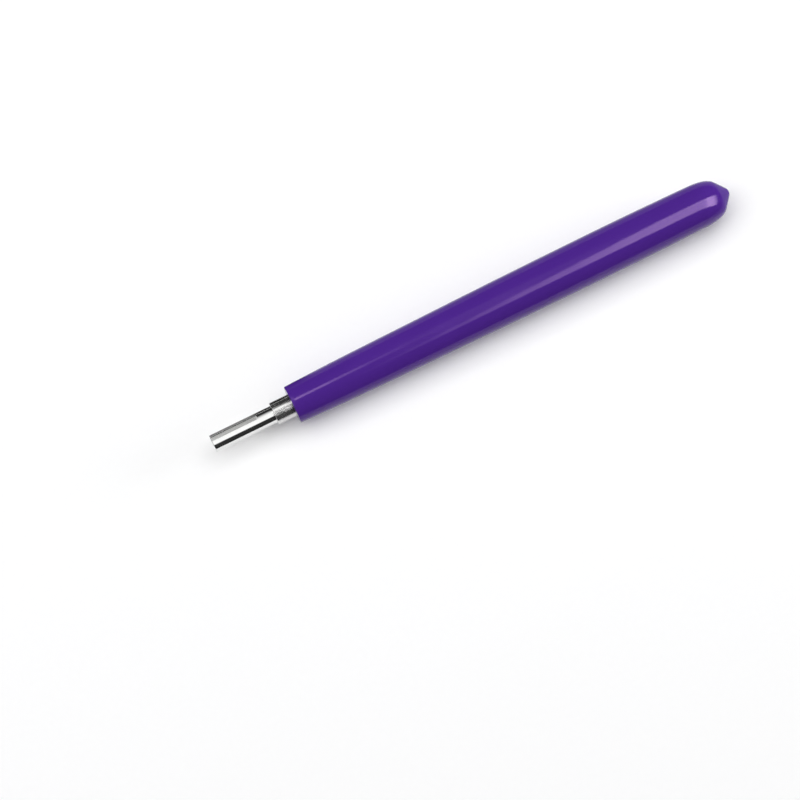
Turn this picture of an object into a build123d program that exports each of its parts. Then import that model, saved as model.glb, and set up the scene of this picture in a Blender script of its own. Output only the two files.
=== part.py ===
from build123d import *

import os
from math import cos, radians, sin, tan

# Widened slotted quilling tool, in millimetres.
# The tool's axis is the X axis and the tip points towards -X. The tool lies on its side with +Z up.
# The origin is on the axis where the slotted pin leaves the tube, the face that a paper coil stops at.

# Core tube: one drawn steel tube through the whole grip, whose bare front end is the ferrule
tube_diameter = 4.5
tube_wall = 0.7
tube_bare_length = 3.9
tube_edge_chamfer = 0.1

# Slotted pin: a polished steel rod with a shoulder that seats on the tube's face
pin_diameter = 3.5
pin_length = 12.9
pin_tip_edge_radius = 0.15
pin_seam_turn_degrees = 30.0
shank_length = 18.0
shank_chamfer = 0.4
shank_clearance = 0.01

# Slot for the paper strip, sawn in from the tip
slot_length = 9.75
slot_width = 0.8
slot_tilt_degrees = 20.0

# Crimps: rings rolled into the tube over the shank, which also lock the vinyl
crimp_first_place = 8.5
crimp_pitch = 8.0
crimp_count = 2
crimp_width = 2.0
crimp_depth = 0.3

# End plug: closes the tube's rear end, so that the vinyl doesn't run in
plug_stem_length = 8.0
plug_stem_chamfer = 0.4
plug_clearance = 0.01

# Grip: soft vinyl dipped over the tube, trimmed square in front, with a drip nub behind
grip_length = 93.2
grip_front_radius = 3.76
grip_front_edge_radius = 0.2
grip_lip_length = 5.0
grip_lip_radius = 3.93
grip_middle_radius = 4.27
grip_middle_place_share = 0.32
grip_belly_radius = 4.53
grip_belly_place_share = 0.63
grip_shoulder_radius = 4.34
grip_shoulder_slope = 0.02
grip_step_count = 5
grip_seam_turn_degrees = -90.0
grip_dome_length = 7.0
grip_end_cover = 4.0
nub_base_radius = 2.8
nub_nose_radius = 1.33
nub_flank_degrees = 50.5

# How far a cutting tool runs past what it cuts
overrun = 1.0

# Places along the axis, and radii, that follow from the sizes above
tube_radius = tube_diameter / 2
tube_bore_radius = tube_radius - tube_wall
tip_place = -pin_length
grip_front_place = tube_bare_length
grip_rear_place = grip_front_place + grip_length
plug_head_radius = tube_radius
tube_rear_place = grip_rear_place - grip_end_cover - plug_head_radius
crimp_places = [crimp_first_place + crimp_pitch * n for n in range(crimp_count)]


def along_x(solid):
    """Turns a solid that was drawn up the Z axis so that it lies along +X."""
    return Rotation(0, 90, 0) * solid


def rod(radius, start, end):
    """A plain round rod on the X axis from start to end."""
    upright = Cylinder(radius, end - start, align=(Align.CENTER, Align.CENTER, Align.MIN))
    return Pos(start, 0, 0) * along_x(upright)


def turned(outline):
    """The solid that a closed outline in the XY plane sweeps as it turns once round the X axis."""
    return revolve(make_face(outline), axis=Axis.X)


def crimp_groove(radius, place):
    """A ring with the crimp's arc for its section, as deep as the crimp, sunk into a rod of this radius."""
    half_width = crimp_width / 2
    rim_radius = radius + crimp_depth
    bottom = ThreePointArc(
        (place - half_width, radius), (place, radius - crimp_depth), (place + half_width, radius)
    )
    rim = Polyline(
        bottom @ 1, (place + half_width, rim_radius), (place - half_width, rim_radius), bottom @ 0
    )
    return turned(bottom + rim)


def crimped_rod(radius, start, end):
    """A rod that carries every crimp as a ring groove of the same depth, whatever its radius."""
    blank = rod(radius, start, end)
    for place in crimp_places:
        blank -= crimp_groove(radius, place)
    return blank


def edges_at(solid, place, radius):
    """The round edges of a solid that lie at one place along the axis, at one radius."""
    tolerance = radius / 1000
    circles = solid.edges().filter_by(GeomType.CIRCLE)
    at_place = circles.filter_by_position(Axis.X, place - tolerance, place + tolerance)
    return [edge for edge in at_place if abs(edge.radius - radius) < tolerance]


def core_tube():
    """The steel tube: its wall follows the crimps inside and out, and its front edge is broken."""
    tube = crimped_rod(tube_radius, 0, tube_rear_place) - crimped_rod(tube_bore_radius, 0, tube_rear_place)
    return chamfer(edges_at(tube, 0, tube_radius), tube_edge_chamfer)


def slot_cutter():
    """The slot's space: a flat blade from past the tip to a round bottom, tilted about the axis."""
    half_width = slot_width / 2
    bottom_place = tip_place + slot_length - half_width
    blade_length = slot_length - half_width + overrun
    blade_height = pin_diameter + overrun * 2
    blade = Box(blade_length, slot_width, blade_height, align=(Align.MAX, Align.CENTER, Align.CENTER))
    bottom = Cylinder(half_width, blade_height)
    return Rotation(-slot_tilt_degrees, 0, 0) * (Pos(bottom_place, 0, 0) * (blade + bottom))


def slotted_pin():
    """The polished rod with its shank and slot. The seam of its round wall stays clear of the slot."""
    pin_radius = pin_diameter / 2
    shank_radius = tube_bore_radius - shank_clearance
    shank = crimped_rod(shank_radius, 0, shank_length)
    shank = chamfer(edges_at(shank, shank_length, shank_radius), shank_chamfer)
    working_end = Rotation(pin_seam_turn_degrees, 0, 0) * rod(pin_radius, tip_place, 0)
    working_end = fillet(edges_at(working_end, tip_place, pin_radius), pin_tip_edge_radius)
    return working_end + shank - slot_cutter()


def end_plug():
    """The domed plug: its stem is pushed into the tube and its head sits on the tube's rear face."""
    stem_radius = tube_bore_radius - plug_clearance
    stem_front_place = tube_rear_place - plug_stem_length
    stem = rod(stem_radius, stem_front_place, tube_rear_place)
    stem = chamfer(edges_at(stem, stem_front_place, stem_radius), plug_stem_chamfer)
    return stem + plug_head()


def plug_head():
    """Half a ball as wide as the tube, on the tube's rear face."""
    flat_side = (tube_rear_place, 0)
    rim = (tube_rear_place, plug_head_radius)
    pole = (tube_rear_place + plug_head_radius, 0)
    dome = TangentArc(rim, pole, tangent=(1, 0))
    return turned(dome + Polyline(pole, flat_side, rim))


def grip_swell():
    """The vinyl's long swell: a smooth curve walked in straight steps, each of which turns into a cone."""
    front = (grip_front_place, grip_front_radius)
    lip = (grip_front_place + grip_lip_length, grip_lip_radius)
    middle = (grip_front_place + grip_length * grip_middle_place_share, grip_middle_radius)
    belly = (grip_front_place + grip_length * grip_belly_place_share, grip_belly_radius)
    shoulder = (grip_rear_place - grip_dome_length, grip_shoulder_radius)
    lip_direction = (lip[0] - front[0], lip[1] - front[1])
    shoulder_direction = (1, -grip_shoulder_slope)
    curve = Spline(front, lip, middle, belly, shoulder, tangents=(lip_direction, shoulder_direction))
    return Polyline([curve @ (n / grip_step_count) for n in range(grip_step_count + 1)])


def grip_outline():
    """Half of the grip's outer outline: the long swell of the vinyl, the dome, and the drip nub."""
    flank = radians(nub_flank_degrees)
    nose_start_radius = nub_nose_radius * cos(flank)
    nose_start_place = grip_rear_place - nub_nose_radius * (1 - sin(flank))
    nub_base_place = nose_start_place - (nub_base_radius - nose_start_radius) / tan(flank)
    nub_base = (nub_base_place, nub_base_radius)
    nose_start = (nose_start_place, nose_start_radius)
    nose_end = (grip_rear_place, 0)
    flank_direction = (cos(flank), -sin(flank))

    swell = grip_swell()
    dome = Spline(swell @ 1, nub_base, tangents=((1, -grip_shoulder_slope), flank_direction))
    nub_flank = Line(nub_base, nose_start)
    nose = TangentArc(nose_start, nose_end, tangent=flank_direction)
    back_to_front = Polyline(nose_end, (grip_front_place, 0), swell @ 0)
    return swell + dome + nub_flank + nose + back_to_front


def grip():
    """The vinyl less the tube and plug that it was dipped over. The turned surface's seam runs underneath."""
    half_section = make_face(grip_outline())
    front_corner = half_section.vertices().sort_by_distance((grip_front_place, grip_front_radius))[0]
    half_section = fillet(front_corner, grip_front_edge_radius)
    body = Rotation(grip_seam_turn_degrees, 0, 0) * revolve(half_section, axis=Axis.X)
    covered = crimped_rod(tube_radius, 0, tube_rear_place) + plug_head()
    return body - covered


os.makedirs("parts", exist_ok=True)
pieces = {
    "slotted_pin": slotted_pin(),
    "core_tube": core_tube(),
    "end_plug": end_plug(),
    "grip": grip(),
}
for name, piece in pieces.items():
    export_step(piece, f"parts/{name}.step")
    print(name, "solids", len(piece.solids()), "volume", round(piece.volume, 2))
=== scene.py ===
# %% [markdown]
# # A slotted quilling tool, built as surfaces in numpy
#
# Quilling is rolling thin strips of paper into coils. The tool is a polished steel pin with a sawn slot that
# holds the end of the strip, a steel tube that carries the pin, and a handle of soft vinyl. The vinyl is put
# on by dipping: the tube goes into liquid plastic and comes out with a thick, glossy skin and a small drip
# at its end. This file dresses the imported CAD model. It gives each piece its true surface, its finish and
# its light.

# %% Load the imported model
import math

import bmesh
import bpy
import numpy as np
from mathutils import Matrix, Vector


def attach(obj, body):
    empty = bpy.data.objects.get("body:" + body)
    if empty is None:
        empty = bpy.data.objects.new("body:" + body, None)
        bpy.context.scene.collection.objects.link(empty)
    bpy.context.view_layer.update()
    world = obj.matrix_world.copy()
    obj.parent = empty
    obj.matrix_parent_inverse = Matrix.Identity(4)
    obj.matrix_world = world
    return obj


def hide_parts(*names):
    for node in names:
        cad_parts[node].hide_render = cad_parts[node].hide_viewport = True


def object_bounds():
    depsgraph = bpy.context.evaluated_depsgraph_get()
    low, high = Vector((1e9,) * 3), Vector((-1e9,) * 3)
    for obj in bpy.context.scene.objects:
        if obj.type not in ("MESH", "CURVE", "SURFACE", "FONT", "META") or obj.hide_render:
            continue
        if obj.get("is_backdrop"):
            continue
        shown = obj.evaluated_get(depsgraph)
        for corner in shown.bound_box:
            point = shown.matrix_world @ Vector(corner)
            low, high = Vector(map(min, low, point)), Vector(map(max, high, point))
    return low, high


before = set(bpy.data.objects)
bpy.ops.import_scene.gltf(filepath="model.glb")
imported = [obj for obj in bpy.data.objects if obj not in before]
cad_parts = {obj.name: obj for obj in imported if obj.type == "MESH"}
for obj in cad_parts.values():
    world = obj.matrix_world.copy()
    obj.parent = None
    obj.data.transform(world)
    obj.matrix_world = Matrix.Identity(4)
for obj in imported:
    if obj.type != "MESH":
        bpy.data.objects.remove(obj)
cad_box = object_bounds()
print("CAD pieces:", sorted(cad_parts))

# %% [markdown]
# ## The camera
#
# A camera could be placed by eye, but then nothing could be compared with a photograph. Here its direction
# comes from two angles, and its distance from one number: how many millimetres a pixel is wide at the tool.
# One point of the tool whose pixel is known then tells where the picture's centre falls. A long lens of
# 200 mm keeps the perspective mild, as in most product pictures. `back` points from the tool to the camera,
# `right` and `up` are the picture's own axes, and the three together are the camera's rotation.

# %% Camera
MM = 0.001
PICTURE_PIXELS = 800
MM_PER_PIXEL = 0.1907

camera_azimuth = math.radians(-26.476)
camera_elevation = math.radians(80.0)
back = Vector((
    math.sin(camera_azimuth) * math.cos(camera_elevation),
    -math.cos(camera_azimuth) * math.cos(camera_elevation),
    math.sin(camera_elevation),
))
right = Vector((math.cos(camera_azimuth), math.sin(camera_azimuth), 0.0))
up = back.cross(right)

camera_data = bpy.data.cameras.new("camera")
camera_data.lens = 200.0
camera_data.sensor_width = 36.0
camera_data.clip_start = 0.01
picture_width = PICTURE_PIXELS * MM_PER_PIXEL * MM
camera_distance = picture_width * camera_data.lens / camera_data.sensor_width

known_point = Vector((50.53, 0.0, 0.0)) * MM
known_pixel = (511.48, 297.66)
half = PICTURE_PIXELS / 2
offset_right = (known_pixel[0] - half) * MM_PER_PIXEL * MM
offset_up = (half - known_pixel[1]) * MM_PER_PIXEL * MM
picture_centre = known_point - right * offset_right - up * offset_up

camera = bpy.data.objects.new("camera", camera_data)
bpy.context.scene.collection.objects.link(camera)
axes = Matrix((right, up, back)).transposed().to_4x4()
camera.matrix_world = Matrix.Translation(picture_centre + back * camera_distance) @ axes
bpy.context.scene.camera = camera
bpy.context.scene.view_settings.view_transform = "Standard"
print("camera at", [round(v / MM, 1) for v in camera.location], "mm")

# %% [markdown]
# ## Node materials in a few words
#
# Every finish below is a small network of nodes around one Principled BSDF. Writing each link by hand hides
# the idea, so a tiny helper adds a node, sets its inputs and links what is given as another node's output.
# An input is named as in Blender, with an underscore for each space, or by its place: i0 is the first. All
# patterns start from Object coordinates, which are metres on the real tool, so a scale of 1000 gives
# features of about one millimetre.

# %% Node helpers
def add_node(tree, kind, settings=None, **inputs):
    """Adds a node. settings are its own properties; inputs are values, or sockets of other nodes to link."""
    node = tree.nodes.new(kind)
    for name, value in (settings or {}).items():
        setattr(node, name, value)
    for name, value in inputs.items():
        by_place = name[0] == "i" and name[1:].isdigit()
        socket = node.inputs[int(name[1:]) if by_place else name.replace("_", " ")]
        if isinstance(value, bpy.types.NodeSocket):
            tree.links.new(value, socket)
        else:
            socket.default_value = value
    return node


def new_material(name):
    """An empty node material with an output, ready for a shader."""
    material = bpy.data.materials.new(name)
    material.use_nodes = True
    material.node_tree.nodes.clear()
    output = material.node_tree.nodes.new("ShaderNodeOutputMaterial")
    return material, material.node_tree, output


# %% [markdown]
# ## Patterns, sums and mixes
#
# A finish is mostly patterns of noise that are bent into a range and added up. Each helper here adds one
# such node and hands back the socket with its result, so that a material reads as a short list of sums.
# The place on the tool comes in the same way, as x, y and z.

# %% Pattern helpers
def object_axes(tree):
    """The three Object coordinates x, y and z, in metres, as sockets of their own."""
    coordinates = add_node(tree, "ShaderNodeTexCoord").outputs["Object"]
    split = add_node(tree, "ShaderNodeSeparateXYZ", Vector=coordinates)
    return [split.outputs[axis] for axis in "XYZ"]


def stretched_noise(tree, scale, detail=3.0, roughness=0.5):
    """Noise on Object coordinates, with a scale for each axis: a large one is fine, a small one drawn out."""
    coordinates = add_node(tree, "ShaderNodeTexCoord").outputs["Object"]
    mapping = add_node(tree, "ShaderNodeMapping", Vector=coordinates, Scale=scale)
    noise = add_node(
        tree, "ShaderNodeTexNoise",
        Vector=mapping.outputs["Vector"], Scale=1.0, Detail=detail, Roughness=roughness,
    )
    return noise.outputs["Fac"]


def remap(tree, value, low, high, to_low, to_high):
    """Carries a value from one range into another, and stops at both ends."""
    node = add_node(
        tree, "ShaderNodeMapRange", {"clamp": True},
        i0=value, i1=low, i2=high, i3=to_low, i4=to_high,
    )
    return node.outputs[0]


def calculate(tree, operation, first, second=0.0):
    """One sum on two values."""
    return add_node(tree, "ShaderNodeMath", {"operation": operation}, i0=first, i1=second).outputs[0]


def blend_colours(tree, share, first, second):
    """A colour between two others: the first where share is 0, the second where it is 1."""
    mix = add_node(tree, "ShaderNodeMix", {"data_type": "RGBA"}, i0=share, i6=first, i7=second)
    return mix.outputs[2]


def bump(tree, height, distance_mm, strength):
    """Turns a height from 0 to 1 into a rise of so many millimetres."""
    node = add_node(tree, "ShaderNodeBump", Strength=strength, Distance=distance_mm * MM, Height=height)
    return node.outputs["Normal"]


def wear(piece, material):
    """Gives a piece its one material, and prints how many nodes make it."""
    piece.data.materials.clear()
    piece.data.materials.append(material)
    print(piece.name, "wears", material.name, "of", len(material.node_tree.nodes), "nodes")


# %% [markdown]
# ## From a grid of points to a closed mesh
#
# A surface is a function of two numbers. Lay those numbers out on a grid, compute every point at once with
# numpy, and the faces are simply the grid's squares. Several grids that meet along an edge become one closed
# skin when the doubled points are merged. Poles close in the same way: a whole ring of the grid falls on one
# point, and the merge leaves a fan of triangles there.

# %% Grid surfaces
MERGE_MM = 0.0005


def grid_faces(rows, columns, first=0, flip=False):
    """Quads of a rows x columns grid of points whose first index is given. flip turns them to face away."""
    index = first + np.arange(rows * columns).reshape(rows, columns)
    a, b, c, d = index[:-1, :-1], index[:-1, 1:], index[1:, 1:], index[1:, :-1]
    corners = (a, d, c, b) if flip else (a, b, c, d)
    return np.stack([corner.ravel() for corner in corners], axis=1)


def skin_from_grids(name, grids):
    """One closed object from (points, flip) grids. Doubled points merge, and the volume tells the side."""
    points = np.concatenate([grid.reshape(-1, 3) for grid, _ in grids])
    faces = []
    first = 0
    for grid, flip in grids:
        rows, columns = grid.shape[:2]
        faces.append(grid_faces(rows, columns, first, flip))
        first += rows * columns
    mesh = bpy.data.meshes.new(name)
    mesh.from_pydata(points * MM, [], np.concatenate(faces).tolist())
    shell = bmesh.new()
    shell.from_mesh(mesh)
    bmesh.ops.remove_doubles(shell, verts=shell.verts, dist=MERGE_MM * MM)
    bmesh.ops.dissolve_degenerate(shell, edges=shell.edges, dist=MERGE_MM * MM / 10)
    open_edges = sum(1 for edge in shell.edges if len(edge.link_faces) != 2)
    if shell.calc_volume(signed=True) < 0:
        bmesh.ops.reverse_faces(shell, faces=shell.faces)
    volume = shell.calc_volume(signed=True) / MM ** 3
    shell.to_mesh(mesh)
    shell.free()
    mesh.polygons.foreach_set("use_smooth", np.ones(len(mesh.polygons), dtype=bool))
    piece = bpy.data.objects.new(name, mesh)
    bpy.context.scene.collection.objects.link(piece)
    print(name, len(mesh.polygons), "faces,", open_edges, "open edges,", round(volume, 1), "cubic mm")
    return piece


# %% [markdown]
# ## Profiles and smooth curves
#
# The tube and the handle are round, so their grids are a profile of (x, r) points that is carried round the
# axis. A profile is put together from arcs, from rows of points and from cubic curves that are given by
# their ends and the slopes there.

# %% Profiles
def turned_grid(profile, around):
    """Carries a profile of (x, r) points round the X axis: y = r cos a and z = r sin a, a from 0 to 2 pi."""
    angle = np.linspace(0.0, 2 * np.pi, around + 1)
    x = np.repeat(profile[:, :1], around + 1, axis=1)
    r = profile[:, 1:2]
    return np.stack([x, r * np.cos(angle), r * np.sin(angle)], axis=2)


def arc_points(centre, radius, start_degrees, end_degrees, count):
    """Points on an arc of a profile: centre plus radius times (cos, sin) of evenly spaced angles."""
    angle = np.radians(np.linspace(start_degrees, end_degrees, count))
    return np.stack([centre[0] + radius * np.cos(angle), centre[1] + radius * np.sin(angle)], axis=1)


def hermite(t, start, start_slope, end, end_slope):
    """A cubic curve from start to end as t goes from 0 to 1, leaving and arriving with the given slopes."""
    return (
        (2 * t ** 3 - 3 * t ** 2 + 1) * start
        + (t ** 3 - 2 * t ** 2 + t) * start_slope
        + (3 * t ** 2 - 2 * t ** 3) * end
        + (t ** 3 - t ** 2) * end_slope
    )


def smooth_curve(x, knots_x, knots_y):
    """A smooth curve through knots: a cubic between each two, with slopes that are the neighbours' mean."""
    slopes = np.gradient(knots_y, knots_x)
    knot = np.clip(np.searchsorted(knots_x, x) - 1, 0, len(knots_x) - 2)
    width = knots_x[knot + 1] - knots_x[knot]
    t = (x - knots_x[knot]) / width
    return hermite(t, knots_y[knot], width * slopes[knot], knots_y[knot + 1], width * slopes[knot + 1])


# %% [markdown]
# ## The steel tube
#
# The tube is drawn steel, 4.5 mm across. Its bare front end is what a stationer would call the ferrule. Two
# rings are rolled into it under the vinyl, to grip the pin's shank, so they show in the tube's wall, in the
# shank and in the vinyl's inside. They are arcs of a circle, and their depth at a distance d from the middle
# is the arc's height there. Points are only needed close together where a ring bends the wall.

# %% Rolled rings
RING_PLACES = (8.5, 16.5)
RING_HALF_WIDTH = 1.0
RING_DEPTH = 0.3
RING_POINTS = 13


def ring_depth(x):
    """Depth of the rolled rings at places x: sqrt(R^2 - d^2) - (R - depth), with R the arc's own radius."""
    arc_radius = (RING_HALF_WIDTH ** 2 + RING_DEPTH ** 2) / (2 * RING_DEPTH)
    depth = np.zeros_like(x)
    for place in RING_PLACES:
        d = np.clip(np.abs(x - place), 0.0, RING_HALF_WIDTH)
        depth += np.sqrt(arc_radius ** 2 - d ** 2) - (arc_radius - RING_DEPTH)
    return depth


def ringed_places(start, end, step):
    """Places along the axis, close together at the rings and a plain step apart elsewhere."""
    across_ring = RING_HALF_WIDTH * np.sin(np.linspace(-np.pi / 2, np.pi / 2, RING_POINTS))
    rings = [place + across_ring for place in RING_PLACES]
    plain = np.arange(start, end, step)
    places = np.unique(np.round(np.concatenate([plain, [start, end], *rings]), 4))
    return places[(places >= start) & (places <= end)]


# %% [markdown]
# ## The tube's wall
#
# A lathe shape is enough: one closed profile, out along the outside and back along the bore, carried round
# the axis. Next to each corner of the profile stands another point close by, which keeps the smooth shading
# from bending round the corner.

# %% Tube
TUBE_RADIUS = 2.25
BORE_RADIUS = 1.55
TUBE_REAR = 90.85
TUBE_EDGE = 0.1
PLAIN_STEP = 3.0


def tube_profile():
    """The tube's wall: front face, a small turned edge, outside, rear face and bore, as one closed loop."""
    face = np.array([[0.0, BORE_RADIUS + 0.05], [0.0, 1.8], [0.0, 2.05]])
    edge = arc_points((TUBE_EDGE, TUBE_RADIUS - TUBE_EDGE), TUBE_EDGE, 180, 90, 5)
    outer_x = np.concatenate([[0.13, 0.17], ringed_places(0.35, TUBE_REAR - 0.1, PLAIN_STEP)])
    outer = np.stack([outer_x, TUBE_RADIUS - ring_depth(outer_x)], axis=1)
    rear = np.array([[TUBE_REAR, TUBE_RADIUS]])
    bore_x = ringed_places(0.15, TUBE_REAR, PLAIN_STEP)[::-1]
    bore = np.stack([bore_x, BORE_RADIUS - ring_depth(bore_x)], axis=1)
    bore_edge = np.array([[0.05, BORE_RADIUS]])
    return np.concatenate([face, edge, outer, rear, bore, bore_edge, face[:1]])


tube = skin_from_grids("ferrule_tube", [(turned_grid(tube_profile(), around=96), False)])
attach(tube, "root")
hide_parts("core_tube")

# %% [markdown]
# ## The slotted pin
#
# The pin is a turned rod with a saw cut through its tip. Its thick working end stops on the tube's front
# face with a shoulder, and a thinner shank runs on inside the tube. First come the stations, the places
# along the axis at which the rod gets a ring of points, each with its radius. They stand closer together
# wherever the rod or the bottom of the cut is round.

# %% Pin stations
PIN_RADIUS = 1.75
PIN_TIP = -12.9
TIP_EDGE = 0.15
SHOULDER_EDGE = 0.02
SHANK_RADIUS = 1.54
SHANK_END = 18.0
SHANK_STEP = 1.5
SHANK_CHAMFER = 0.4
CUT_HALF_WIDTH = 0.4
CUT_BOTTOM_CENTRE = -3.55


def pin_stations():
    """The rod's (x, r) stations: rounded tip edge, round cut bottom, shoulder, shank with its rings, end."""
    tip_edge = arc_points((PIN_TIP + TIP_EDGE, PIN_RADIUS - TIP_EDGE), TIP_EDGE, 180, 90, 7)
    along_cut = np.concatenate([[PIN_TIP + 0.18], np.linspace(PIN_TIP + 0.3, CUT_BOTTOM_CENTRE, 24)])
    bottom = CUT_BOTTOM_CENTRE + CUT_HALF_WIDTH * np.sin(np.linspace(0.12, np.pi / 2, 14))
    behind = np.concatenate([np.linspace(-2.9, -0.2, 8), [-0.08, -0.05]])
    x = np.concatenate([along_cut, bottom, behind])
    rod = np.stack([x, np.full_like(x, PIN_RADIUS)], axis=1)
    shoulder = np.array([
        [-SHOULDER_EDGE, PIN_RADIUS],
        [0.0, PIN_RADIUS - SHOULDER_EDGE],
        [0.0, PIN_RADIUS - 0.05],
        [0.0, SHANK_RADIUS + 0.02],
        [0.0, SHANK_RADIUS],
    ])
    shank_x = ringed_places(0.2, SHANK_END - SHANK_CHAMFER, SHANK_STEP)
    shank = np.stack([shank_x, SHANK_RADIUS - ring_depth(shank_x)], axis=1)
    end = np.array([[SHANK_END, SHANK_RADIUS - SHANK_CHAMFER], [SHANK_END, 0.6], [SHANK_END, 0.0]])
    return np.concatenate([tip_edge, rod, shoulder, shank, end])


# %% [markdown]
# ## The two halves of the pin
#
# Cutting the slot with a boolean would leave long thin triangles that shade badly. Instead each half of the
# rod is its own set of grids. Seen end on, a half is a D: its round side runs over the angle a from a0 to
# pi - a0, and its flat side is the wall of the cut, straight below the arc's points. Half the cut's width w
# depends only on x: it is constant along the cut, then follows the round bottom that the cutter leaves, and
# is zero behind it, where the two halves meet as one rod.

# %% Pin halves
CUT_TILT = math.radians(20.0)


def cut_half_width(x):
    """Half the cut's width w at places x: sqrt(R^2 - (x - centre)^2) in the round bottom, R before it."""
    into_bottom = np.clip(x - CUT_BOTTOM_CENTRE, 0.0, CUT_HALF_WIDTH)
    return np.sqrt(CUT_HALF_WIDTH ** 2 - into_bottom ** 2)


def tilted(x, along, across):
    """Points from their place in the cut's own axes: along its depth and across it, turned about X."""
    y = along * math.sin(CUT_TILT) + across * math.cos(CUT_TILT)
    z = along * math.cos(CUT_TILT) - across * math.sin(CUT_TILT)
    return np.stack([x, y, z], axis=2)


def pin_half(side, columns=49, tip_rows=9):
    """One half of the rod: its round side, the wall of the cut, and the flat D at the tip.

    The round side is r (cos a, sin a) from a0 to pi - a0, where sin a0 = w / r. The wall keeps the same
    r cos a and lies at w, and the D is filled in straight steps from the arc to the wall.
    """
    stations = pin_stations()
    x, r = stations[:, :1], stations[:, 1:2]
    w = np.minimum(cut_half_width(x), r)
    start = np.arcsin(np.divide(w, r, out=np.zeros_like(w), where=r > 0))
    share = np.linspace(0.0, 1.0, columns)[None, :]
    angle = start + (np.pi - 2 * start) * share
    along = r * np.cos(angle)
    arc = r * np.sin(angle)
    flat = np.broadcast_to(w, along.shape)
    places = np.broadcast_to(x, along.shape)
    cut = x[:, 0] <= CUT_BOTTOM_CENTRE + CUT_HALF_WIDTH + 1e-6
    tip_share = np.linspace(0.0, 1.0, tip_rows)[:, None]
    tip_across = arc[:1] * (1 - tip_share) + flat[:1] * tip_share
    tip_along = np.broadcast_to(along[:1], tip_across.shape)
    tip_places = np.full_like(tip_across, PIN_TIP)
    flip = side < 0
    return [
        (tilted(places, along, side * arc), flip),
        (tilted(places[cut], along[cut], side * flat[cut]), not flip),
        (tilted(tip_places, tip_along, side * tip_across), not flip),
    ]


# %% [markdown]
# ## The pin's broken edges
#
# A sawn edge is broken with a stone, so that it doesn't tear the paper, and it then catches the light as a
# thin line. A Bevel modifier of 0.035 mm does the same wherever two faces meet at more than 40 degrees, and
# its hardened normals keep the flat walls flat.

# %% Pin
pin = skin_from_grids("slotted_pin_polished", pin_half(1) + pin_half(-1))
pin.data.set_sharp_from_angle(angle=math.radians(32))
pin_edges = pin.modifiers.new("broken edges", "BEVEL")
pin_edges.width = 0.035 * MM
pin_edges.segments = 2
pin_edges.limit_method = "ANGLE"
pin_edges.angle_limit = math.radians(40)
pin_edges.harden_normals = True
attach(pin, "root")
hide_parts("slotted_pin")

# %% [markdown]
# ## The dipped grip
#
# Liquid vinyl runs down a tool that is pulled out of the tank, so the skin is thin at the top and thick near
# the lower end, and the last drop sets as a little nub. That is why the handle swells slowly and ends in a
# dome that carries the nub. In front the skin is trimmed square with a blade, which leaves a nearly sharp
# edge. The outline is a smooth curve through radii that were measured every few millimetres. A cubic curve
# rounds off the dome, and the nub is a straight flank with a round nose.

# %% Grip outline
GRIP_FRONT = 3.9
GRIP_REAR = 97.1
FRONT_FACE_RADII = (2.35, 3.0, 3.45)
FRONT_EDGE = 0.2
DOME_START = 90.1
DOME_START_SLOPE = -0.02
DOME_PULLS = (7.4, 4.4)
NUB_BASE = (95.28, 2.8)
NUB_FLANK_DEGREES = 50.5
NUB_NOSE = 1.33
swell_x = np.array([3.9, 6.0, 8.9, 12.0, 20.0, 30.0, 43.0, 50.0, 62.0, 70.0, 75.0, 83.0, 90.1])
swell_r = np.array([3.76, 3.86, 3.94, 4.02, 4.155, 4.28, 4.405, 4.47, 4.53, 4.53, 4.51, 4.44, 4.34])


def grip_outside():
    """Front face, trimmed edge, swell, dome, the nub's straight flank and its round nose, to the pole."""
    face = np.array([[GRIP_FRONT, radius] for radius in FRONT_FACE_RADII])
    edge = arc_points((GRIP_FRONT + FRONT_EDGE, swell_r[0] - FRONT_EDGE), FRONT_EDGE, 180, 93, 8)
    x = np.concatenate([[4.25, 4.6, 5.2], np.linspace(6.0, DOME_START, 86)])
    swell = np.stack([x, smooth_curve(x, swell_x, swell_r)], axis=1)
    flank_angle = math.radians(NUB_FLANK_DEGREES)
    dome_start = np.array([DOME_START, swell_r[-1]])
    start_slope = np.array([1.0, DOME_START_SLOPE]) * DOME_PULLS[0]
    nub_base = np.array(NUB_BASE)
    end_slope = np.array([math.cos(flank_angle), -math.sin(flank_angle)]) * DOME_PULLS[1]
    t = np.linspace(0.0, 1.0, 34)[1:, None]
    dome = hermite(t, dome_start, start_slope, nub_base, end_slope)
    nose = arc_points((GRIP_REAR - NUB_NOSE, 0.0), NUB_NOSE, 90.0 - NUB_FLANK_DEGREES, 0.0, 12)
    flank = nub_base + (nose[0] - nub_base) * np.linspace(0.0, 1.0, 9)[1:-1, None]
    nose[-1, 1] = 0.0
    return np.concatenate([face, edge, swell, dome, flank, nose])


# %% [markdown]
# ## The inside of the grip
#
# Vinyl that is dipped over a tube takes the tube's shape, so the inside follows the plug's round head, the
# tube and its two rings. It is never seen, but a closed skin has a volume, and a print or a cut through the
# handle then comes out right.

# %% Grip inside
def grip_inside():
    """From the pole of the plug's round head forwards along the tube, its rings and out to the front face."""
    head = arc_points((TUBE_REAR, 0.0), TUBE_RADIUS, 0.0, 90.0, 16)
    head[0, 1] = 0.0
    x = ringed_places(GRIP_FRONT + 0.1, TUBE_REAR - 1.0, PLAIN_STEP)[::-1]
    wall = np.stack([x, TUBE_RADIUS - ring_depth(x)], axis=1)
    front = np.array([[GRIP_FRONT, TUBE_RADIUS], [GRIP_FRONT, FRONT_FACE_RADII[0]]])
    return np.concatenate([head, wall, front])


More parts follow.
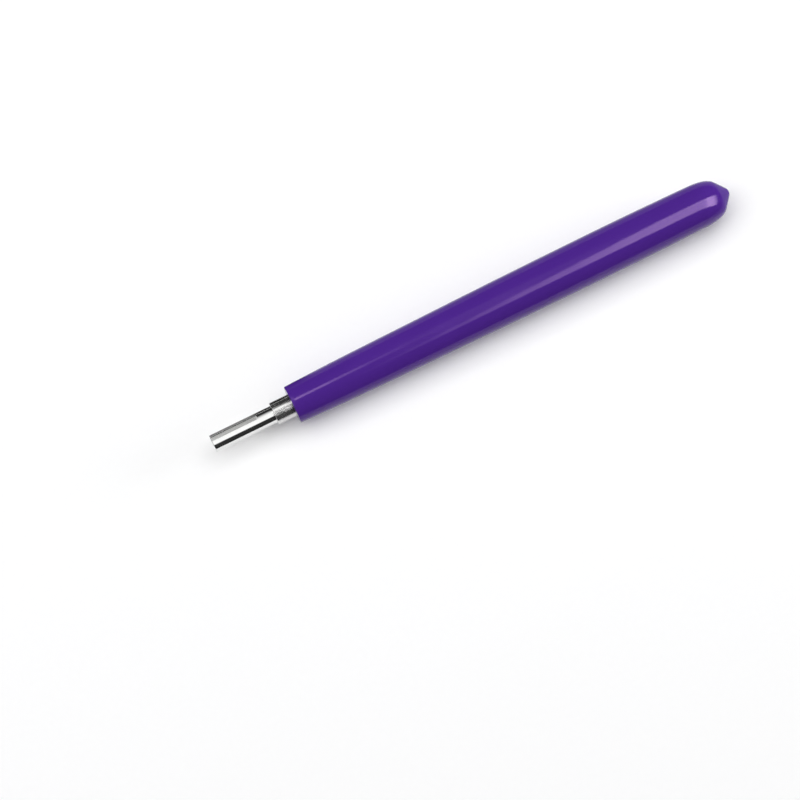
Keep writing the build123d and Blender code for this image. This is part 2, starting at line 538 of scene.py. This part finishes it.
# %% [markdown]
# ## The uneven skin
#
# Nothing dipped is perfectly round. The surface sinks in slow waves, by up to a few hundredths of a
# millimetre, and a shallow dish runs round the nub's foot. Noise would do it as well, but a few sines are
# enough for so slow a wave, and they close round the handle without a seam. They only ever sink the skin, so
# that the tool keeps its size.

# %% Grip
WAVE_DEPTHS = (0.018, 0.012, 0.006)
FOOT_DEPTH = 0.05
FOOT_HALF_WIDTH = 0.28
LEAST_RADIUS = 0.5


def unevenness(x, angle):
    """How far the dipped skin lies below its true round, in mm, and never above it.

    Three sines are added: one 30 mm long that bends as it goes round, one with two lobes round the handle
    that turns slowly along it, and a short one, 8 mm long.
    """
    along = 0.5 + 0.5 * np.sin(x * 0.21 + 1.3 + 0.6 * np.sin(angle))
    around = 0.5 + 0.5 * np.sin(2 * angle + x * 0.045)
    short = 0.5 + 0.5 * np.sin(x * 0.83 + 2.0 * np.sin(angle + 0.7))
    return WAVE_DEPTHS[0] * along + WAVE_DEPTHS[1] * around + WAVE_DEPTHS[2] * short


def grip_grids(around=128):
    """The outside, sunk by its waves, which fade at both ends, and by a bell-shaped dish, and the inside."""
    outside = turned_grid(grip_outside(), around)
    angle = np.linspace(0.0, 2 * np.pi, around + 1)[None, :]
    x = outside[:, :, 0]
    fade_in = np.clip((x - GRIP_FRONT - 0.3) / 3.0, 0.0, 1.0)
    fade_out = np.clip((GRIP_REAR - 1.0 - x) / 2.5, 0.0, 1.0)
    dish = FOOT_DEPTH * np.exp(-((x - NUB_BASE[0]) / FOOT_HALF_WIDTH) ** 2)
    radius = np.hypot(outside[:, :, 1], outside[:, :, 2])
    sunk = (unevenness(x, angle) * fade_in * fade_out + dish) / np.maximum(radius, LEAST_RADIUS)
    outside[:, :, 1:] *= (1 - sunk)[:, :, None]
    inside = turned_grid(grip_inside(), around)
    return [(outside, False), (inside, False)]


grip = skin_from_grids("dipped_grip", grip_grids())
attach(grip, "root")
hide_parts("grip")

# %% [markdown]
# ## Polished steel
#
# A mirror polish isn't a perfect mirror. The polishing wheel leaves hairlines round the rod, each far finer
# than a tenth of a millimetre, and handling leaves faint cloudy patches. The hairlines are noise that is
# squeezed hard along the axis, and they move the roughness and a very shallow bump. Where paper is pushed on
# and off, near the tip, the shine is a little duller.

# %% Polished steel
def polished_steel():
    """Bright metal with hairlines round the rod, cloudy patches and a duller tip."""
    material, tree, output = new_material("polished_steel")
    hairlines = stretched_noise(tree, (9000.0, 500.0, 500.0), 2.0)
    lengthways = stretched_noise(tree, (160.0, 5200.0, 5200.0), 2.0)
    clouds = stretched_noise(tree, (420.0, 420.0, 420.0), 4.0, 0.6)
    along = object_axes(tree)[0]
    near_tip = remap(tree, along, PIN_TIP * MM, -8.5 * MM, 1.0, 0.0)
    base = blend_colours(tree, clouds, (0.74, 0.74, 0.735, 1.0), (0.82, 0.82, 0.81, 1.0))
    roughness = remap(tree, hairlines, 0.3, 0.7, 0.045, 0.10)
    roughness = calculate(tree, "ADD", roughness, remap(tree, clouds, 0.4, 0.75, 0.0, 0.05))
    roughness = calculate(tree, "ADD", roughness, calculate(tree, "MULTIPLY", near_tip, 0.06))
    relief = calculate(tree, "ADD", hairlines, calculate(tree, "MULTIPLY", lengthways, 0.6))
    shader = add_node(
        tree, "ShaderNodeBsdfPrincipled", Base_Color=base, Metallic=1.0, Roughness=roughness,
        Normal=bump(tree, relief, 0.0012, 0.5),
    )
    tree.links.new(shader.outputs["BSDF"], output.inputs["Surface"])
    return material


wear(pin, polished_steel())

# %% [markdown]
# ## Satin steel
#
# The tube keeps the finish of the drawing die that it was pulled through: long straight lines along the
# axis, brighter and darker side by side. So its noise is squeezed round the tube instead of along it. Its
# roughness is higher than the pin's, which makes its reflections soft-edged, and the turned edge in front is
# rubbed brighter.

# %% Satin steel
def satin_steel():
    """Soft metal with drawn lines along the tube, a few deeper than the rest, and a bright front edge."""
    material, tree, output = new_material("satin_steel")
    drawn = stretched_noise(tree, (90.0, 5200.0, 5200.0), 3.0, 0.6)
    coarse = stretched_noise(tree, (60.0, 1500.0, 1500.0), 2.0)
    clouds = stretched_noise(tree, (300.0, 300.0, 300.0), 3.0)
    along = object_axes(tree)[0]
    worn = remap(tree, along, 0.05 * MM, 0.35 * MM, 1.0, 0.0)
    base = blend_colours(tree, drawn, (0.56, 0.56, 0.555, 1.0), (0.68, 0.68, 0.67, 1.0))
    base = blend_colours(tree, worn, base, (0.74, 0.74, 0.73, 1.0))
    roughness = remap(tree, drawn, 0.3, 0.7, 0.17, 0.27)
    roughness = calculate(tree, "ADD", roughness, remap(tree, clouds, 0.4, 0.8, 0.0, 0.05))
    relief = calculate(tree, "ADD", drawn, calculate(tree, "MULTIPLY", coarse, 0.8))
    shader = add_node(
        tree, "ShaderNodeBsdfPrincipled", Base_Color=base, Metallic=1.0, Roughness=roughness,
        Normal=bump(tree, relief, 0.002, 0.5),
    )
    tree.links.new(shader.outputs["BSDF"], output.inputs["Surface"])
    return material


wear(tube, satin_steel())

# %% [markdown]
# ## Dipped vinyl
#
# Plastisol sets with a wet-looking gloss. Up close it has a faint orange peel, a few specks of pigment, and
# dull smudges where fingers hold it. The colour hardly changes, by a few hundredths, but that small change
# is what keeps the handle from looking like painted computer plastic.

# %% Dipped vinyl
def dipped_vinyl():
    """Deep purple plastic: slight clouds in the colour, fine orange peel, smudged gloss."""
    material, tree, output = new_material("grip_vinyl")
    clouds = stretched_noise(tree, (90.0, 160.0, 160.0), 3.0)
    pigment = stretched_noise(tree, (2600.0, 2600.0, 2600.0), 2.0)
    peel = stretched_noise(tree, (520.0, 520.0, 520.0), 2.0)
    smudges = stretched_noise(tree, (130.0, 260.0, 260.0), 5.0, 0.65)
    base = blend_colours(tree, clouds, (0.063, 0.0165, 0.232, 1.0), (0.073, 0.0200, 0.258, 1.0))
    specks = remap(tree, pigment, 0.60, 0.78, 0.0, 0.25)
    base = blend_colours(tree, specks, base, (0.085, 0.026, 0.29, 1.0))
    roughness = remap(tree, smudges, 0.35, 0.7, 0.08, 0.13)
    shader = add_node(
        tree, "ShaderNodeBsdfPrincipled", Base_Color=base, Roughness=roughness, IOR=1.5,
        Normal=bump(tree, peel, 0.012, 0.35),
    )
    shader.inputs["Specular IOR Level"].default_value = 0.30
    shader.inputs["Specular Tint"].default_value = (0.97, 0.66, 1.0, 1.0)
    tree.links.new(shader.outputs["BSDF"], output.inputs["Surface"])
    return material


wear(grip, dipped_vinyl())

# %% [markdown]
# ## The hidden plug
#
# The plug keeps its CAD mesh, because its plain round shape is already right and the vinyl covers it. It
# still gets a real finish: dull moulded plastic with a grain and slightly uneven grey.

# %% Plug
def moulded_plug():
    """Dark moulded plastic with a fine grain."""
    material, tree, output = new_material("plug_plastic")
    grain = stretched_noise(tree, (2200.0, 2200.0, 2200.0), 3.0)
    clouds = stretched_noise(tree, (350.0, 350.0, 350.0), 3.0)
    base = blend_colours(tree, clouds, (0.10, 0.10, 0.11, 1.0), (0.14, 0.14, 0.15, 1.0))
    roughness = remap(tree, grain, 0.3, 0.7, 0.42, 0.58)
    shader = add_node(
        tree, "ShaderNodeBsdfPrincipled", Base_Color=base, Roughness=roughness,
        Normal=bump(tree, grain, 0.01, 0.4),
    )
    tree.links.new(shader.outputs["BSDF"], output.inputs["Surface"])
    return material


wear(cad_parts["end_plug"], moulded_plug())

# %% [markdown]
# ## Floor and backdrop
#
# The tool lies on its widest place, so the floor is a sheet of matt white at the height of its lowest point.
# A white floor under soft light comes out light grey. Where it is looked at, a little added glow lifts it to
# the white of a studio sweep without putting more light on the tool, and the shadow stays.

# %% Floor
WHITE = (1.0, 1.0, 1.0, 1.0)
FLOOR_Z = cad_box[0][2]
FLOOR_REACH = (-6.0, 6.0)
FLOOR_GLOW = 0.12


def level_corners(xs, ys, height):
    """The corners of a level rectangle that spans two x and two y at a height, in metres."""
    return [(xs[0], ys[0], height), (xs[1], ys[0], height), (xs[1], ys[1], height), (xs[0], ys[1], height)]


def stage_sheet(name, corners, material, **visible):
    """A flat sheet through four corners, part of the studio, hidden from the kinds of ray given as False."""
    mesh = bpy.data.meshes.new(name)
    mesh.from_pydata(corners, [], [(0, 1, 2, 3)])
    sheet = bpy.data.objects.new(name, mesh)
    sheet.data.materials.append(material)
    bpy.context.scene.collection.objects.link(sheet)
    for ray, seen in visible.items():
        setattr(sheet, "visible_" + ray, seen)
    sheet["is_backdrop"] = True
    print("studio sheet", name)


def seen_directly(tree):
    """1 for camera, glossy and transmission rays, 0 for the rest."""
    path = add_node(tree, "ShaderNodeLightPath")
    seen = calculate(tree, "MAXIMUM", path.outputs["Is Camera Ray"], path.outputs["Is Glossy Ray"])
    return calculate(tree, "MAXIMUM", seen, path.outputs["Is Transmission Ray"])


def floor_paper():
    """Matt white with a very faint fibre, plus a small glow where it is looked at."""
    material, tree, output = new_material("floor_paper")
    fibre = stretched_noise(tree, (900.0, 900.0, 900.0), 3.0)
    base = blend_colours(tree, fibre, (0.85, 0.85, 0.855, 1.0), (0.87, 0.87, 0.875, 1.0))
    glow = calculate(tree, "MULTIPLY", seen_directly(tree), FLOOR_GLOW)
    shader = add_node(
        tree, "ShaderNodeBsdfPrincipled", Base_Color=base, Roughness=0.9, Emission_Strength=glow,
    )
    shader.inputs["Emission Color"].default_value = WHITE
    shader.inputs["Specular IOR Level"].default_value = 0.1
    tree.links.new(shader.outputs["BSDF"], output.inputs["Surface"])
    return material


stage_sheet("studio_floor", level_corners(FLOOR_REACH, FLOOR_REACH, FLOOR_Z), floor_paper())

# %% [markdown]
# ## The world behind the floor
#
# The world is white to the camera and in reflections, so that no dark edge shows behind the floor. For all
# other rays it is a soft grey fill, which lights the shadow from all sides.

# %% World
WORLD_FILL = 0.22
world = bpy.data.worlds.new("studio")
world.use_nodes = True
world_tree = world.node_tree
world_tree.nodes.clear()
world_output = world_tree.nodes.new("ShaderNodeOutputWorld")
world_level = remap(world_tree, seen_directly(world_tree), 0.0, 1.0, WORLD_FILL, 1.0)
background = add_node(world_tree, "ShaderNodeBackground", Color=WHITE, Strength=world_level)
world_tree.links.new(background.outputs["Background"], world_output.inputs["Surface"])
bpy.context.scene.world = world
print("world fills the shadows at", WORLD_FILL)

# %% [markdown]
# ## The key light and the end fill
#
# The shadow tells where the light was: it falls to the lower right, so one large softbox stands up and to
# the left. It is a long one, in line with the tool. Its length makes the shadow fade beyond the tool's two
# ends, and its width sets how soft the shadow is across the tool. A weak, square softbox low behind the
# handle's end lights the dome and the nub, which face away from the key.
#
# The power follows from the level that is wanted. A small lamp of P watts gives a sheet that faces it from a
# distance d a brightness of P / (pi d)^2 times the sheet's colour. The floor faces up, at an angle to the
# key, so the level is divided by that angle's cosine, the z of the key's direction. The key is large for
# its distance and gives somewhat less than a small lamp would, so its level is above 1.

# %% Key light and end fill
KEY_UP = 0.43
KEY_LEFT = 0.24
KEY_DISTANCE = 0.75
KEY_SIZE = (1.70, 0.66)
KEY_LEVEL = 1.37
END_DISTANCE = 0.60
END_SIZE = (0.25, 0.25)
END_LEVEL = 0.50
key_direction = (back + up * KEY_UP - right * KEY_LEFT).normalized()
end_direction = Vector((0.97, -0.16, 0.20)).normalized()
tool_middle = Vector((42.0, 0.0, 0.0)) * MM


def area_lamp(name, size, watts, matrix):
    """A rectangular lamp, its size in metres, that is placed by its matrix and not seen in reflections."""
    lamp_data = bpy.data.lights.new(name, "AREA")
    lamp_data.shape = "RECTANGLE"
    lamp_data.size, lamp_data.size_y = size
    lamp_data.energy = watts
    lamp = bpy.data.objects.new(name, lamp_data)
    lamp.matrix_world = matrix
    lamp.visible_glossy = False
    bpy.context.scene.collection.objects.link(lamp)
    print(name, f"{watts:.3g} W")
    return lamp


def softbox(name, size, distance, direction, level):
    """A lamp with its long side along the tool that faces its middle: watts = level times (pi distance)^2."""
    across = direction.cross(Vector((1.0, 0.0, 0.0))).normalized()
    turn = Matrix((across.cross(direction), across, direction)).transposed().to_4x4()
    place = Matrix.Translation(tool_middle + direction * distance)
    area_lamp(name, size, level * (math.pi * distance) ** 2, place @ turn)


softbox("key_softbox", KEY_SIZE, KEY_DISTANCE, key_direction, KEY_LEVEL / key_direction.z)
softbox("end_fill", END_SIZE, END_DISTANCE, end_direction, END_LEVEL)

# %% [markdown]
# ## Light that the polished pin throws down
#
# A bright rod doesn't only block light. It also throws part of it down beside itself, which thins its own
# shadow. Path tracing finds such light slowly, so a tiny strip lamp under the pin stands in for it. It faces
# the floor, gives the pin nothing and is never seen.

# %% Light under the pin
STRIP_CENTRE = (-8.2, -1.3, -2.1)
STRIP_SIZE = (8.6, 2.4)
STRIP_LEVEL = 0.40


def strip_lamp(name, centre, size, level):
    """A level strip, given in mm, that faces down: watts = level times pi times its area in square metres."""
    length, width = size[0] * MM, size[1] * MM
    place = Matrix.Translation(Vector(centre) * MM)
    lamp = area_lamp(name, (length, width), level * math.pi * length * width, place)
    lamp.visible_camera = False


strip_lamp("pin_thrown_light", STRIP_CENTRE, STRIP_SIZE, STRIP_LEVEL)

# %% [markdown]
# ## What the metal and the gloss reflect
#
# Shiny things show their surroundings, so a photographer builds those surroundings with white diffusers and
# black flags. Here they are flat sheets that are seen in reflections only: they give no light, cast no
# shadow and never show in the picture. A picture of a lit studio could be wrapped round the scene instead,
# but sheets stand at a real distance, so their reflections slide as they should when the view turns. Each
# sheet is dark cloth with glowing patches. A patch has soft sides: its glow is the product of one smooth
# step for each side, and the patches of a sheet are added up.

# %% Glowing cloth
CLOTH_GREY = 0.03
only_reflected = {"camera": False, "diffuse": False, "shadow": False}


def soft_step(tree, value, start, end):
    """0 at start and 1 at end, smooth between and level beyond. It falls where start is above end."""
    node = add_node(tree, "ShaderNodeMapRange", {"interpolation_type": "SMOOTHSTEP"}, i0=value)
    node.inputs[1].default_value = min(start, end)
    node.inputs[2].default_value = max(start, end)
    node.inputs[3].default_value = 0.0 if start < end else 1.0
    node.inputs[4].default_value = 1.0 if start < end else 0.0
    return node.outputs[0]


def glowing_patch(tree, level, *sides):
    """A patch of one brightness whose sides are soft steps, each on a coordinate from start to end."""
    glow = level
    for coordinate, start, end in sides:
        glow = calculate(tree, "MULTIPLY", soft_step(tree, coordinate, start, end), glow)
    return glow


def glowing_cloth(name, patches_of):
    """Dark cloth with glowing patches: patches_of gets the node tree and the sheet's own x, y and z."""
    material, tree, output = new_material(name)
    total = CLOTH_GREY
    for patch in patches_of(tree, *object_axes(tree)):
        total = calculate(tree, "ADD", patch, total)
    glow = add_node(tree, "ShaderNodeEmission", Color=WHITE, Strength=total)
    tree.links.new(glow.outputs["Emission"], output.inputs["Surface"])
    return material


def no_patches(tree, x, y, z):
    """Plain dark cloth."""
    return []


# %% [markdown]
# ## The tent and its ceiling
#
# A dark tent stands round the table. What glows on its ceiling becomes the streak along the handle, so the
# patches follow the streak: a short bright line over the handle's front, a faint haze between, and a wedge
# that widens to the rear, with a second, brighter share over the handle's end. The wedge's sides aren't
# straight, so its near side is moved out by how far x is past two places, each times a slope.

# %% Tent
CEILING = 0.55
TENT_X = (-0.75, 0.95)
TENT_Y = (-0.75, 0.75)
FLAG_HEIGHT = FLOOR_Z + 0.4 * MM
LINE_LEVEL = 7.2
HAZE_LEVEL = 0.6
WEDGE_LEVEL = 7.2
REAR_LEVEL = 6.0


def beyond(tree, value, start, most=10.0):
    """How far a value is past start, from 0 up to most."""
    past = calculate(tree, "MAXIMUM", calculate(tree, "SUBTRACT", value, start), 0.0)
    return calculate(tree, "MINIMUM", past, most)


def ceiling_patches(tree, x, y, z):
    """A bright line over the handle's front, a haze, and a wedge that widens and brightens to the rear."""
    drop = calculate(tree, "MULTIPLY", beyond(tree, x, 0.14, 0.11), 0.5)
    fan = calculate(tree, "MULTIPLY", beyond(tree, x, 0.25), 0.75)
    near_side = calculate(tree, "ADD", y, calculate(tree, "ADD", drop, fan))
    before = calculate(tree, "SUBTRACT", calculate(tree, "MINIMUM", x, 0.178), 0.173)
    wedge = calculate(tree, "SUBTRACT", y, calculate(tree, "MULTIPLY", before, 2.4))
    near_edge = (near_side, -0.32, -0.27)
    far_end = (x, 1.02, 0.38)
    return [
        glowing_patch(tree, LINE_LEVEL, (x, 0.075, -0.02), (y, 0.04, 0.09), (y, 0.22, 0.15)),
        glowing_patch(tree, HAZE_LEVEL, (x, 0.06, 0.08), (x, 0.20, 0.10), (y, -0.30, -0.25), (y, 0.33, 0.25)),
        glowing_patch(tree, WEDGE_LEVEL, (x, 0.04, 0.20), near_edge, (wedge, 0.125, 0.045), far_end),
        glowing_patch(tree, REAR_LEVEL, (x, 0.26, 0.34), near_edge, (y, 0.12, 0.05), far_end),
    ]


def upright_sheet(name, start, end, material):
    """A wall of the tent over the line from start to end on the table."""
    corners = [(*start, FLAG_HEIGHT), (*end, FLAG_HEIGHT), (*end, CEILING), (*start, CEILING)]
    stage_sheet(name, corners, material, **only_reflected)


def level_sheet(name, xs, ys, height, material):
    """A level rectangle of the studio at a height."""
    stage_sheet(name, level_corners(xs, ys, height), material, **only_reflected)


(left, right_end), (near, far) = TENT_X, TENT_Y
dark_cloth = glowing_cloth("tent_cloth", no_patches)
upright_sheet("tent_near", (left, near), (right_end, near), dark_cloth)
upright_sheet("tent_far", (left, far), (right_end, far), dark_cloth)
upright_sheet("tent_left", (left, near), (left, far), dark_cloth)
upright_sheet("tent_right", (right_end, near), (right_end, far), dark_cloth)
level_sheet("tent_ceiling", TENT_X, TENT_Y, CEILING, glowing_cloth("tent_ceiling_cloth", ceiling_patches))

# %% [markdown]
# ## The card over the metal
#
# The pin and the tube are so thin that they mirror nearly the whole tent. A far patch that gives them a
# broad, soft highlight would also fall on the handle, so they get a card of their own. It hangs 12 mm
# above the tool's axis and ends where the handle begins. Its light over the pin is broad and even. Over
# the tube it is dimmer, with one brighter line, because the satin finish blurs what it reflects.

# %% Card over the metal
CARD_HEIGHT = 12.0 * MM
CARD_PIN_LEVEL = 1.2
CARD_TUBE_LEVEL = 0.36
CARD_LINE_LEVEL = 1.35


def card_patches(tree, x, y, z):
    """A broad light over the pin, and a dimmer one with a bright line over the tube."""
    over_pin = (x, 0.0007, 0.0003)
    over_tube = (x, 0.0003, 0.0007)
    return [
        glowing_patch(tree, CARD_PIN_LEVEL, over_pin, (y, -0.0075, -0.0064), (y, 0.0163, 0.0010)),
        glowing_patch(tree, CARD_TUBE_LEVEL, over_tube, (y, -0.0042, -0.0030), (y, 0.0130, 0.0048)),
        glowing_patch(tree, CARD_LINE_LEVEL, over_tube, (y, 0.0006, 0.0027), (y, 0.0083, 0.0049)),
    ]


card_paper = glowing_cloth("metal_card_paper", card_patches)
level_sheet("metal_card", (-0.030, 0.0041), (-0.080, 0.080), CARD_HEIGHT, card_paper)

# %% [markdown]
# ## Flags on the table, and painted reflections
#
# A glossy tool on a white table mirrors the table along both its sides, as bright as its highlight. Flags
# take that away: dark cloth in front, and sheets that glow at set grey levels beyond the tool and past the
# handle's end, which paint what the metal and the gloss reflect there. They lie just above the floor, and
# only reflections see them, so the picture's table stays white.

# %% Flags
def far_flag_reflection_glow(tree, x, y, z):
    """Painted reflection beyond the tool: dark behind the pin's root and the tube, grey beside the rest."""
    return [
        glowing_patch(tree, 0.20, (x, -0.0022, -0.0030)),
        glowing_patch(tree, 0.42, (x, 0.0070, 0.0120)),
        glowing_patch(tree, 0.40, (x, 0.0070, 0.0120), (y, 0.0160, 0.0080)),
    ]


def rear_flag_reflection_glow(tree, x, y, z):
    """Painted reflection past the handle's end: a grey glow on the table."""
    return [glowing_patch(tree, 0.55, (x, 0.09, 0.10))]


# The far and rear sheets glow at set levels, so they paint the table's reflection darker than the white
# floor.
far_flag_glow = glowing_cloth("far_flag_painted_reflection", far_flag_reflection_glow)
rear_flag_glow = glowing_cloth("rear_flag_painted_reflection", rear_flag_reflection_glow)
level_sheet("far_flag", (-0.050, 0.098), (0.0065, 0.090), FLAG_HEIGHT, far_flag_glow)
level_sheet("near_flag", (-0.300, 0.400), (-0.740, -0.055), FLAG_HEIGHT, dark_cloth)
level_sheet("rear_flag", (0.0985, 0.450), (-0.150, 0.150), FLAG_HEIGHT, rear_flag_glow)

# %% [markdown]
# ## Sizes, and the end
#
# Looks must not change the tool's size. The CAD model's box and the dressed model's box are written side by
# side, so that they can be compared after each render.

# %% Sizes
visual_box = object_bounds()
boxes = {"cad": [list(map(float, c)) for c in cad_box], "visual": [list(map(float, c)) for c in visual_box]}
for label, corners in boxes.items():
    print(label, [[round(v / MM, 3) for v in corner] for corner in corners])
